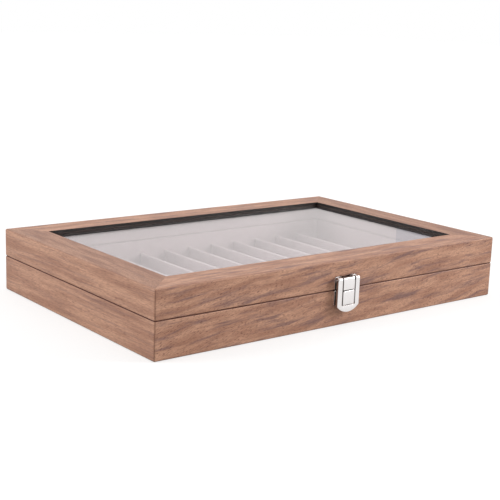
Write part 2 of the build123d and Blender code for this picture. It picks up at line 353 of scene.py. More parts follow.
@dataclass(frozen=True)
class Walnut(Finish):
    """Matt lacquered walnut veneer, with the window's lip painted black.

    Of each pair of numbers the first is for the upright faces and the second for the top.
    """

    grain: Grain
    half_case: Pair
    half_window: Pair
    top: float
    seam: float
    lean: Pair
    sway: Pair
    stretch: Pair
    twist: Pair
    mottle: Pair
    bold: Pair
    tone_and_face_shade: Pair = (1.0, 1.0)
    streak: float = 3.2
    depth: float = 0.62
    tan: Triple = (0.56, 0.31, 0.205)
    brown: Triple = (0.385, 0.193, 0.125)
    plum: Triple = (0.208, 0.118, 0.106)
    pore: Triple = (0.15, 0.062, 0.046)
    dark_tone: Triple = (0.095, 0.032, 0.023)
    paint: Triple = (0.024, 0.020, 0.019)
    foot_highlight: Triple = (0.06, 0.042, 0.036)

    @property
    def name(self) -> str:
        """The material's name."""
        return f"walnut_along_{self.grain.value}"

    def write(self, graph: Graph) -> None:
        """Write the figure, the pores, the dark edges and the paint, in that order."""
        x, y, z = graph.place()
        _, _, upward = graph.facing()
        along, side = (x, y) if self.grain is Grain.ALONG_X else (y, x)
        flat = abs(upward).ramp(0.55, 0.8)
        across = graph.blend(flat, z, side)
        own = 23.0 if self.grain is Grain.ALONG_Y else 0.0
        sheet = side.above(0.0) * 41.0 + flat * 17.0 + own

        # the figure drifts across the grain as it goes along it, and sways to and fro
        wander = graph.noise(along / 70, across / 30, sheet) - 0.5
        leaning = across - along * graph.blend(flat, *self.lean)
        figure = leaning + wander * graph.blend(flat, *self.sway)
        run = along / graph.blend(flat, *self.stretch)
        cloud = graph.noise(run / 40, figure / 6.5, sheet, 3, 0.55)
        band = graph.noise(run / 42, figure / self.streak, sheet + 7.0, 3, 0.6, 0.15)
        thread = graph.noise(run / 13, figure / 0.85, sheet + 3.0, 3, 0.7)
        bent = figure - along * graph.blend(flat, *self.twist)
        curl = graph.noise(run / 3.4, bent / 1.4, sheet + 11.0, 3, 0.65, 0.3)
        fleck = graph.noise(run / 1.9, bent / 0.75, sheet + 29.0, 1, 0.5)
        mottle = graph.blend(flat, *self.mottle)
        colour = graph.tint(cloud.ramp(0.34, 0.64), self.brown, self.tan)
        plum = band.ramp(0.48, 0.68) * self.depth + curl.ramp(0.5, 0.72) * mottle * 0.4
        colour = graph.tint(plum, colour, self.plum)
        colour = graph.dimmed(colour, thread * 0.75 + fleck * 0.5 + 0.39)
        # per rail a tone of the veneer, with painted shade that sets the tops darker than the
        # upright faces
        colour = graph.dimmed(colour, (curl - 0.5) * mottle + graph.blend(flat, *self.tone_and_face_shade))

        # pores are short dark dashes that lie along the grain
        dash = graph.noise(run / 2.7, bent / 0.55, sheet + 5.0, 2, 0.5)
        crowd = graph.noise(along / 22, figure / 7, sheet + 19.0, 1).ramp(0.32, 0.54, 0.5, 1.0)
        pore = dash.ramp(0.54, 0.68) * crowd * graph.blend(flat, *self.bold)
        colour = graph.tint(pore, colour, self.pore)

        # the veneer's outer faces are darker along the seam between lid and base, as painted shade,
        # at the foot of the upright faces, and down the corners, at the veneer's joints
        beyond_x, beyond_y = (abs(axis) - half for axis, half in zip((x, y), self.half_case))
        outermost = beyond_x.larger(beyond_y).ramp(-1.1, -0.7)
        seam_shade = abs(z - self.seam).ramp(0.25, 0.65, 1.0, 0.0) * outermost
        near_floor = z.ramp(0.3, 1.3, 0.5, 0.0)
        corner = beyond_x.ramp(-0.75, -0.2) * beyond_y.ramp(-0.75, -0.2) * 0.38
        edge = seam_shade.larger(near_floor.larger(corner) * (1.0 - flat))
        # the dark tone here is painted shade along the seam, a darker foot, and the corners' dark
        # joints
        colour = graph.tint(edge * 0.9, colour, self.dark_tone)

        # the window's lip is painted black on its faces, and so is all below it; a lighter band at
        # the lip's foot, where it meets the glass, is a painted highlight
        inside_x, inside_y = (
            abs(axis).ramp(half + 0.05, half + 0.12, 1.0, 0.0)
            for axis, half in zip((x, y), self.half_window)
        )
        paint = inside_x * inside_y * z.above(self.top - 6.0) * (1.0 - flat)
        foot = z.ramp(self.top - 2.6, self.top - 2.1, 1.0, 0.0)
        colour = graph.tint(paint, colour, graph.tint(foot, self.paint, self.foot_highlight))
        roughness = graph.blend(paint, 0.56 - thread * 0.12 + pore * 0.15, 0.4)
        height = thread * 0.35 + curl * 0.15 - pore * 0.6
        inputs = {
            "Base Color": colour,
            "Roughness": roughness,
            "Normal": graph.bump(height, 0.035, 0.7),
            "Specular IOR Level": 0.3,
        }
        graph.principled(inputs)


@dataclass(frozen=True)
class BlackPaint(Finish):
    """Satin black paint on the glazing beads."""

    name: str = "black_bead_paint"
    colour: Triple = (0.022, 0.019, 0.018)
    dark_tone: Triple = (0.036, 0.031, 0.030)

    def write(self, graph: Graph) -> None:
        """Write thin brushed paint."""
        x, y, z = graph.place()
        brushed = graph.noise(x / 3, y / 3, z / 0.6, 3, 0.6)
        inputs = {
            "Base Color": graph.tint(brushed, self.colour, self.dark_tone),
            "Roughness": brushed * 0.2 + 0.3,
            "Normal": graph.bump(brushed, 0.03, 0.5),
        }
        graph.principled(inputs)


@dataclass(frozen=True)
class WindowGlass(Finish):
    """Clear sheet glass, which bends what is seen through it and lets the lamps through."""

    name: str = "window_glass_clear"
    index: float = 1.5
    clear: Triple = (0.985, 0.982, 0.984)

    def write(self, graph: Graph) -> None:
        """Write glass to the eye, and a clear film to the lamps' light."""
        shadow, diffuse = graph.rays("Shadow", "Diffuse")
        inputs = {"Color": opaque(self.clear), "Roughness": 0.0, "IOR": self.index}
        sheet = graph.add("ShaderNodeBsdfGlass", inputs=inputs)
        sheer = graph.add("ShaderNodeBsdfTransparent", inputs={"Color": opaque(self.clear)})
        light = shadow.larger(diffuse)
        graph.surface(graph.add("ShaderNodeMixShader", inputs={0: light, 1: sheet, 2: sheer}))


@dataclass(frozen=True)
class Velvet(Finish):
    """Short-pile velvet, brushed unevenly so that its nap catches the light in patches."""

    name: str = "grey_velvet"
    deep: Triple = (0.365, 0.295, 0.303)
    light: Triple = (0.475, 0.390, 0.402)
    top_highlight: Triple = (0.72, 0.64, 0.64)

    def write(self, graph: Graph) -> None:
        """Write the pile, with a painted highlight along the top edges of the dividers."""
        x, y, z = graph.place()
        stroke = graph.noise(x / 14, y / 22, z / 9, 3, 0.6, 0.5)
        pile = graph.noise(x / 0.45, y / 0.45, z / 0.45, 2, 0.7)
        nap = (stroke - 0.5) * 0.8 + (pile - 0.5) * 0.6 + 0.5
        sideways, _, upward = graph.facing()
        # painted highlight: the upturned faces at the dividers' tops are paler
        top_highlight = upward.ramp(0.2, 0.9) * z.ramp(15.0, 16.5) * z.ramp(19.0, 20.0, 1.0, 0.0) * 0.65
        # painted light: faces that look sideways, such as the dividers' sides, are lighter
        nap = nap + abs(sideways).ramp(0.5, 0.9) * 0.2
        brushed = graph.tint(nap.ramp(0.0, 1.0), self.deep, self.light)
        inputs = {
            "Base Color": graph.tint(top_highlight, brushed, self.top_highlight),
            "Roughness": 0.95 - pile * 0.12,
            "Normal": graph.bump(pile, 0.12, 0.6),
            "Sheen Weight": 0.55,
            "Sheen Roughness": 0.45,
            "Sheen Tint": (1.0, 0.91, 0.925, 1.0),
            "Specular IOR Level": 0.15,
        }
        graph.principled(inputs)


@dataclass(frozen=True)
class Felt(Finish):
    """Pressed black felt under the base."""

    name: str = "black_felt"
    dark: Triple = (0.016, 0.015, 0.016)
    light: Triple = (0.055, 0.052, 0.052)

    def write(self, graph: Graph) -> None:
        """Write pressed fibres."""
        x, y, z = graph.place()
        fibre = graph.noise(x / 0.9, y / 0.5, z, 4, 0.75, 1.2)
        patch = graph.noise(x / 24, y / 24, z, 2)
        shade = fibre * 0.7 + patch * 0.3
        inputs = {
            "Base Color": graph.tint(shade.ramp(0.3, 0.7), self.dark, self.light),
            "Roughness": 0.98 - patch * 0.08,
            "Normal": graph.bump(fibre, 0.25, 0.7),
            "Sheen Weight": 0.3,
        }
        graph.principled(inputs)


@dataclass(frozen=True)
class Fibreboard(Finish):
    """The plain pressed board of the bottom."""

    name: str = "fibreboard"
    dark: Triple = (0.26, 0.165, 0.10)
    light: Triple = (0.44, 0.30, 0.19)

    def write(self, graph: Graph) -> None:
        """Write pressed chips."""
        x, y, z = graph.place()
        chips = graph.noise(x / 0.8, y / 0.8, z / 0.5, 4, 0.7, 0.8)
        cloud = graph.noise(x / 30, y / 30, z, 2)
        shade = chips * 0.7 + cloud * 0.3
        inputs = {
            "Base Color": graph.tint(shade.ramp(0.3, 0.7), self.dark, self.light),
            "Roughness": 0.85 - cloud * 0.1,
            "Normal": graph.bump(chips, 0.08, 0.5),
        }
        graph.principled(inputs)


@dataclass(frozen=True)
class LatchDepths:
    """Where shade is painted on a part of the latch: depths from front to back, and the knuckle's
    height.

    The last number is one on a plate with its block, and zero on the flap.
    """

    hidden: float
    plate: float
    knuckle: float
    blocks: float


@dataclass(frozen=True)
class Nickel(Finish):
    """Bright nickel plate over a finely brushed stamping, with shade painted into the latch's gaps.
    """

    name: str = "nickel_plate"
    colour: Triple = (0.83, 0.80, 0.795)
    painted_shade: Triple = (0.19, 0.17, 0.163)
    roughness: float = 0.2
    latch: LatchDepths | None = None

    def write(self, graph: Graph) -> None:
        """Write the metal.

        With the latch's depths, shade is painted into the colour: what lies in the gaps inside the
        flap's window is darkened, and so, mostly, are the plates behind the flap and the flap's
        turned sides.
        """
        x, y, z = graph.place()
        brush = graph.noise(x / 0.22, y / 0.22, z / 14, 3, 0.6)
        smear = graph.noise(x / 3.5, y / 3.5, z / 5, 2)
        smoothed = tuple(0.84 * part for part in self.colour)
        colour = graph.tint(smear * 0.5 + brush * 0.5, self.colour, smoothed)
        if self.latch:
            latch = self.latch
            sideways, forward, upward = graph.facing()
            # painted shade: the gaps behind the flap's face, the sill's upturned edges and the
            # blocks' hidden edges are darkened, which also takes away their glints
            inside = abs(x).ramp(6.9, 7.05, 1.0, 0.0) * z.above(16.6)
            behind = y.ramp(latch.hidden, latch.hidden + 0.3)
            sill = upward.above(0.3) * z.ramp(17.3, 17.5, 1.0, 0.0)
            below = z.ramp(latch.knuckle - 0.2, latch.knuckle, 1.0, 0.0)
            edges = (1.0 + forward).ramp(0.05, 0.3) * below * latch.blocks
            colour = graph.tint(inside * behind.larger(sill).larger(edges), colour, self.painted_shade)
            # painted shade and painted reflection, seven tenths strong: the plates' fronts behind
            # the flap and the flap's turned sides
            turned = abs(sideways).ramp(0.6, 0.9)
            rear = y.ramp(latch.plate - 0.1, latch.plate) * (1.0 - turned) * latch.blocks
            shaded = rear.larger(turned * (1.0 - latch.blocks))
            colour = graph.tint(shaded * 0.7, colour, self.painted_shade)
        inputs = {
            "Base Color": colour,
            "Metallic": 1.0,
            "Roughness": brush * 0.12 + smear * 0.08 + self.roughness - 0.1,
            "Normal": graph.bump(brush, 0.004, 0.5),
        }
        graph.principled(inputs)


# ---------------------------------------------------------------- surfaces


@dataclass
class Shell:
    """A closed surface in millimetres: points, quads and triangles."""

    points: np.ndarray
    quads: np.ndarray
    triangles: np.ndarray

    @classmethod
    def loft(cls, rings: np.ndarray) -> "Shell":
        """Join closed rings of points in order, and close both ends with a fan to its middle.

        The point of ring i and place j is joined to its neighbours i+1 and j+1, and j wraps round.

        Args:
            rings: an array of rings by points by 3, in millimetres.

        Returns:
            The closed shell, facing outwards.
        """
        count, around, _ = rings.shape
        i, j = np.meshgrid(np.arange(count - 1), np.arange(around), indexing="ij")
        here, turn = i * around + j, i * around + (j + 1) % around
        quads = np.stack([here, turn, turn + around, here + around], -1).reshape(-1, 4)
        ring = np.arange(around)
        after = (ring + 1) % around
        first, last = count * around, count * around + 1
        offset = (count - 1) * around
        low = np.stack([after, ring, np.full(around, first)], -1)
        high = np.stack([ring + offset, after + offset, np.full(around, last)], -1)
        middles = rings[[0, -1]].mean(axis=1)
        points = np.concatenate([rings.reshape(-1, 3), middles])
        return cls(points, quads, np.concatenate([low, high])).outward()

    @classmethod
    def turned(cls, profile: np.ndarray, axis_y: float, axis_z: float, around: int) -> "Shell":
        """Turn a profile about a line that runs along X.

        Args:
            profile: points by 2, each a radius and a place along X.
            axis_y: the line's place from front to back.
            axis_z: the line's height.
            around: how many points each ring has.

        Returns:
            The closed shell.
        """
        turn = np.linspace(0, 2 * math.pi, around, endpoint=False)
        rings = np.zeros((len(profile), around, 3))
        rings[..., 0] = profile[:, 1:]
        rings[..., 1] = axis_y + profile[:, :1] * np.cos(turn)
        rings[..., 2] = axis_z + profile[:, :1] * np.sin(turn)
        return cls.loft(rings)

    def outward(self) -> "Shell":
        """Turn the faces round if the shell's signed volume is negative."""
        halves = [self.quads[:, :3], self.quads[:, [0, 2, 3]], self.triangles]
        corners = self.points[np.concatenate(halves)]
        volume = np.einsum("ij,ij->i", corners[:, 0], np.cross(corners[:, 1], corners[:, 2])).sum()
        if volume < 0:
            return Shell(self.points, self.quads[:, ::-1], self.triangles[:, ::-1])
        return self


def piece(name: str, shells: list[Shell], crease: float) -> bpy.types.Object:
    """Put shells into one mesh object at the origin.

    Args:
        name: the piece's name.
        shells: its closed surfaces, in millimetres.
        crease: edges sharper than this many degrees stay sharp.

    Returns:
        The new object.
    """
    points, faces, offset = [], [], 0
    for shell in shells:
        points.append(shell.points * MM)
        faces += (shell.quads + offset).tolist() + (shell.triangles + offset).tolist()
        offset += len(shell.points)
    mesh = bpy.data.meshes.new(name)
    mesh.from_pydata(np.concatenate(points).tolist(), [], faces)
    mesh.polygons.foreach_set("use_smooth", np.ones(len(mesh.polygons), bool))
    mesh.set_sharp_from_angle(angle=math.radians(crease))
    mesh.update()
    made = bpy.data.objects.new(name, mesh)
    bpy.context.scene.collection.objects.link(made)
    return made


def stand_in(
    node: str, suffix: str, shells: list[Shell], crease: float
) -> bpy.types.Object:
    """Make a piece that is shown in the place of a CAD node.

    Args:
        node: the CAD node.
        suffix: what the piece's name adds to the node's.
        shells: its closed surfaces, in millimetres.
        crease: edges sharper than this many degrees stay sharp.

    Returns:
        The piece.
    """
    made = piece(f"{node}_{suffix}", shells, crease)
    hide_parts(node)
    return made


def rounded_loop(
    width: float, height: float, radii: tuple[float, ...], steps: int = 5
) -> np.ndarray:
    """A rectangle with rounded corners: each corner is a quarter circle about its own centre.

    Args:
        width: full size along the first axis.
        height: full size along the second axis.
        radii: radius of each corner, anticlockwise from the lower left.
        steps: points on each corner.

    Returns:
        The loop's points, an array of points by 2, centred on the origin.
    """
    signs = np.array([(-1, -1), (1, -1), (1, 1), (-1, 1)], float)
    radius = np.array(radii, float)[:, None]
    centres = signs * (np.array([width, height]) / 2 - radius)
    quarter = np.radians(np.linspace(0, 90, steps))
    turn = quarter[None, :] + np.radians([180, 270, 0, 90])[:, None]
    arcs = np.stack([np.cos(turn), np.sin(turn)], -1) * radius[:, :, None]
    return (centres[:, None, :] + arcs).reshape(-1, 2)


def eased_ends(
    length: float, easing: float, inner: int, steps: int = 5
) -> tuple[np.ndarray, np.ndarray]:
    """Stations along a bar whose ends are rounded off by a quarter circle.

    Args:
        length: full length.
        easing: radius of the rounded end.
        inner: stations between the rounded ends.
        steps: stations in each rounded end.

    Returns:
        The places of the stations, centred on zero, and how far the section is drawn in at each.
    """
    turn = np.radians(np.linspace(0, 90, steps))
    into = easing * (1 - np.cos(turn))
    drawn = easing * (1 - np.sin(turn))
    middle = np.linspace(easing, length - easing, inner + 2)[1:-1]
    places = np.concatenate([into, middle, length - into[::-1]]) - length / 2
    return places, np.concatenate([drawn, np.zeros(inner), drawn[::-1]])


def drawn_in(loop: np.ndarray, half: np.ndarray, drawn: np.ndarray) -> np.ndarray:
    """Repeat a section, each time shrunk so that its half sizes lose what is drawn in there.

    Args:
        loop: the section's points by 2, about its middle.
        half: its two half sizes.
        drawn: how far each copy is drawn in.

    Returns:
        The copies, an array of copies by points by 2.
    """
    shrink = (half[None, :] - drawn[:, None]) / half[None, :]
    return loop[None] * shrink[:, None, :]


def node_box(name: str) -> tuple[np.ndarray, np.ndarray]:
    """The lowest and highest corners of a CAD node, in millimetres."""
    low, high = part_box(name)
    return np.array(low) / MM, np.array(high) / MM


@dataclass(frozen=True)
class VelvetBoard:
    """A board wrapped in velvet, which stands in the place of a CAD board."""

    node: str
    top_radii: Pair = (1.3, 1.3)
    bottom_radii: Pair = (0.4, 0.4)
    end_radius: float = 0.5
    swell: float = 0.12
    stations: int = 40

    def build(self) -> bpy.types.Object:
        """Carry a rounded section along the board's longer level axis.

        The section is drawn in at the ends, and its faces swell by a slow wave along the board,
        as cloth does that is glued over a board by hand.

        Returns:
            The wrapped board.
        """
        low, high = node_box(self.node)
        size, middle = high - low, (low + high) / 2
        along = int(np.argmax(size[:2]))
        thick = size[1 - along] - 2 * self.swell
        tall = size[2] - self.swell
        radii = (*self.bottom_radii, *self.top_radii)
        places, drawn = eased_ends(size[along], self.end_radius, self.stations)
        section = drawn_in(rounded_loop(thick, tall, radii), np.array([thick, tall]) / 2, drawn)
        phase = float(middle.sum())
        wave = np.sin(places / 9.0 + phase) * np.sin(places / 23.0 + 2 * phase)
        face = np.sign(section[..., 0])
        section[..., 0] += face * self.swell * 0.8 * wave[:, None] * (drawn[:, None] == 0)
        section[..., 1] -= self.swell / 2
        rings = np.zeros((*section.shape[:2], 3))
        rings[..., along] = places[:, None] + middle[along]
        rings[..., 1 - along] = section[..., 0] + middle[1 - along]
        rings[..., 2] = section[..., 1] + middle[2]
        return stand_in(self.node, "velvet", [Shell.loft(rings)], 60)


@dataclass(frozen=True)
class SlotPad:
    """The padded floor of the slots, crowned between the dividers and drawn in at its ends."""

    node: str
    edges: tuple[Pair, ...]
    floor: float
    rim: float
    crown: float
    draw_in: float = 6.0
    ripple: float = 0.05
    clearance: float = 0.2

    def build(self) -> bpy.types.Object:
        """Carry the crowned section from the front to the back.

        In a slot the height is rim + crown * (1 - s^2)^0.8, where s goes from -1 to 1 across the
        slot, with a slow ripple over it. It falls away at the ends by a quarter circle of the
        drawing-in length, and the rim loses a fifth of its thickness there.

        Returns:
            The pad.
        """
        low, high = node_box(self.node)
        s = np.linspace(-1, 1, 13)
        rise = self.crown * (1 - s**2) ** 0.8
        spans = np.array(self.edges)
        widths = (spans[:, 1] - spans[:, 0])[:, None]
        x = (spans.mean(axis=1)[:, None] + s[None, :] * widths / 2).ravel()
        height = np.tile(rise, len(spans))
        places, _ = eased_ends(high[1] - low[1] - self.clearance, 0.5, 70)
        reach = np.clip((np.abs(places).max() - np.abs(places)) / self.draw_in, 0, 1)
        fall = np.sqrt(1 - (1 - reach) ** 2)
        ripple = self.ripple * np.sin(places[:, None] / 11.0 + x[None, :] / 25.0 * 2.4)
        crowned = height[None, :] + ripple * (height[None, :] > 0.1)
        top = self.rim - self.floor + crowned * fall[:, None]
        top = top * (0.8 + 0.2 * fall[:, None])
        rings = np.zeros((len(places), len(x) + 2, 3))
        rings[:, :-2, 0] = x
        rings[:, :-2, 2] = self.floor + top
        rings[:, -2:, 0] = (x[-1], x[0])
        rings[:, -2:, 2] = self.floor
        rings[..., 1] = places[:, None]
        made = stand_in(self.node, "velvet", [Shell.loft(rings)], 70)
        return made


@dataclass(frozen=True)
class UnderFelt:
    """The felt laid into the underside."""

    node: str = "underside_felt"
    clearance: float = 0.2

    def build(self) -> bpy.types.Object:
        """Make a thin slab with softly rounded edges.

        Returns:
            The felt.
        """
        low, high = node_box(self.node)
        size, middle = high - low, (low + high) / 2
        thick = size[2] * 0.9
        easing = thick * 0.45
        loop = rounded_loop(size[0] - self.clearance, thick, (easing,) * 4, 4)
        places, drawn = eased_ends(size[1] - self.clearance, easing, 24)
        section = drawn_in(loop, np.array([size[0] / 2, thick / 2]), drawn)
        rings = np.zeros((len(places), len(loop), 3))
        rings[..., 0] = section[..., 0] + middle[0]
        rings[..., 1] = places[:, None] + middle[1]
        rings[..., 2] = section[..., 1] + middle[2]
        made = stand_in(self.node, "cloth", [Shell.loft(rings)], 60)
        return made


@dataclass(frozen=True)
class CrossScrew:
    """A screw with a cross recess, seen at its head."""

    head_radius: float
    shank_radius: float
    length: float
    head_depth: float
    dome: float
    recess: float
    around: int = 48

    def shell(self, root: Triple, outward: Triple, turn: float) -> Shell:
        """Turn a profile about the screw's axis and press the cross into it.

        The head's height at radius r is dome * (1 - (r/R)^2). The cross lowers it by the whole
        recess within 0.06 R of either arm's centre line, by less out to 0.21 R, and only inside
        0.66 R.

        Args:
            root: where the head meets the surface, on the axis.
            outward: the direction that the head faces.
            turn: how far the cross is turned, in radians.

        Returns:
            The screw.
        """
        head, shank = self.head_radius, self.shank_radius
        radii = head * np.array([0.05, 0.14, 0.24, 0.34, 0.46, 0.58, 0.7, 0.82, 0.92, 0.98, 1.0])
        angle = np.linspace(0, 2 * math.pi, self.around, endpoint=False)
        r, a = np.meshgrid(radii, angle, indexing="ij")
        arm = np.minimum(np.abs(r * np.sin(a)), np.abs(r * np.cos(a))) / (head * 0.15)
        pressed = np.clip(1.4 - arm, 0, 1) * np.clip((0.66 - r / head) / 0.1, 0, 1)
        height = self.dome * (1 - (r / head) ** 2) - self.recess * pressed
        below = np.array([
            (head, -0.06 * self.head_depth),
            (shank, -self.head_depth),
            (shank, -self.length * 0.8),
            (shank * 0.2, -self.length),
        ])
        r = np.concatenate([r, np.repeat(below[:, :1], self.around, axis=1)])
        height = np.concatenate([height, np.repeat(below[:, 1:], self.around, axis=1)])
        axis = Vector(outward).normalized()
        first = Vector((1, 0, 0))
        second = axis.cross(first)
        a = np.tile(angle, (len(r), 1)) + turn
        across, up = (r * np.cos(a))[..., None], (r * np.sin(a))[..., None]
        level = across * np.array(first) + up * np.array(second)
        return Shell.loft(np.array(root) + level + height[..., None] * np.array(axis))


# ---------------------------------------------------------------- sub-assemblies


@dataclass
class Dresser:
    """Gives CAD nodes and new pieces their finishes and bodies."""

    walnut_x: bpy.types.Material
    walnut_y: bpy.types.Material
    paint: bpy.types.Material
    glass: bpy.types.Material
    velvet: bpy.types.Material
    felt: bpy.types.Material
    board: bpy.types.Material
    nickel: bpy.types.Material
    stamping: bpy.types.Material
    pressing: bpy.types.Material

    def veneer(self, side: str) -> bpy.types.Material:
        """The veneer whose grain runs along one side of the case."""
        return self.walnut_x if side in ("front", "back") else self.walnut_y

    def node(self, name: str, material: bpy.types.Material) -> None:
        """Give a CAD node its material.

        Args:
            name: the node.
            material: its finish.
        """
        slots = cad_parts[name].data.materials
        slots.clear()
        slots.append(material)
        log.info("finish %s on node %s", material.name, name)

    def new(self, made: bpy.types.Object, material: bpy.types.Material, body: str) -> None:
        """Give a new piece its material and the body that it moves with.

        Args:
            made: the piece.
            material: its finish.
            body: the CAD body.
        """
        made.data.materials.append(material)
        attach(made, body)
        log.info("piece %s rides on %s, %d faces", made.name, body, len(made.data.polygons))


@dataclass
class CaseBase:
    """The base: walls, bottom, felt, linings, slot pad and dividers."""

    dresser: Dresser
    divider_count: int = 11

    def build(self) -> None:
        """Dress the walls and bottom, and make everything of cloth."""
        dresser = self.dresser
        for side in SIDES:
            dresser.node(f"base_{side}_wall", dresser.veneer(side))
        dresser.node("base_bottom_panel", dresser.board)
        dresser.new(UnderFelt().build(), dresser.felt, "base")
        boards = [VelvetBoard(f"base_lining_{side}") for side in SIDES]
        boards += [VelvetBoard(divider, swell=0.08) for divider in self.dividers()]
        for board in boards:
            dresser.new(board.build(), dresser.velvet, "base")
        dresser.new(self.pad().build(), dresser.velvet, "base")

    def dividers(self) -> list[str]:
        """The dividers' nodes, from left to right."""
        return [f"divider_{number:02d}" for number in range(1, self.divider_count + 1)]

    def pad(self) -> SlotPad:
        """Read the slots' edges between the dividers, and the pad's heights.

        Returns:
            The slot pad.
        """
        low, high = node_box("slot_floor_pad")
        boxes = [node_box(name) for name in self.dividers()]
        starts = [low[0] + 0.1] + [float(box[1][0]) for box in boxes]
        ends = [float(box[0][0]) for box in boxes] + [high[0] - 0.1]
        rim = float(boxes[0][0][2])
        crown = float(high[2]) - rim - 0.05
        return SlotPad("slot_floor_pad", tuple(zip(starts, ends)), float(low[2]), rim, crown)


@dataclass
class GlassLid:
    """The lid: rails, glass, glazing beads and linings."""

    dresser: Dresser

    def build(self) -> None:
        """Dress the rails, glass and beads, and make the linings."""
        dresser = self.dresser
        for side in SIDES:
            dresser.node(f"lid_{side}_rail", dresser.veneer(side))
            dresser.node(f"glass_bead_{side}", dresser.paint)
            board = VelvetBoard(f"lid_lining_{side}", (0.4, 0.4), (1.2, 1.2))
            dresser.new(board.build(), dresser.velvet, "lid")
        dresser.node("window_glass", dresser.glass)


@dataclass
class ButtHinges:
    """Two butt hinges at the back, with their pins and screws."""

    dresser: Dresser
    screw: CrossScrew = CrossScrew(1.8, 0.9, 8.9, 1.0, 0.0, 0.45)
    reach: float = 9.0

    def build(self) -> None:
        """Dress the leaves and pins, and set new screws in the leaves' countersinks."""
        for side in ("left", "right"):
            for part in ("base_leaf", "lid_leaf", "pin"):
                self.dresser.node(f"hinge_{side}_{part}", self.dresser.nickel)
        for where, up in (("base", 1.0), ("lid", -1.0)):
            node = f"hinge_{where}_screws"
            low, high = node_box(node)
            face = (high[2] if where == "base" else low[2]) - 0.02 * up
            middle, half = (low[0] + high[0]) / 2, (high[0] - low[0]) / 2
            spread = half - self.screw.head_radius - self.reach
            steps = (-self.reach, self.reach)
            places = [middle + sign * spread + step for sign in (-1, 1) for step in steps]
            y = (low[1] + high[1]) / 2
            shells = [
                self.screw.shell((x, y, face), (0, 0, up), 0.5 + 1.1 * number)
                for number, x in enumerate(places)
            ]
            made = stand_in(node, "cross", shells, 50)
            self.dresser.new(made, self.dresser.nickel, where)


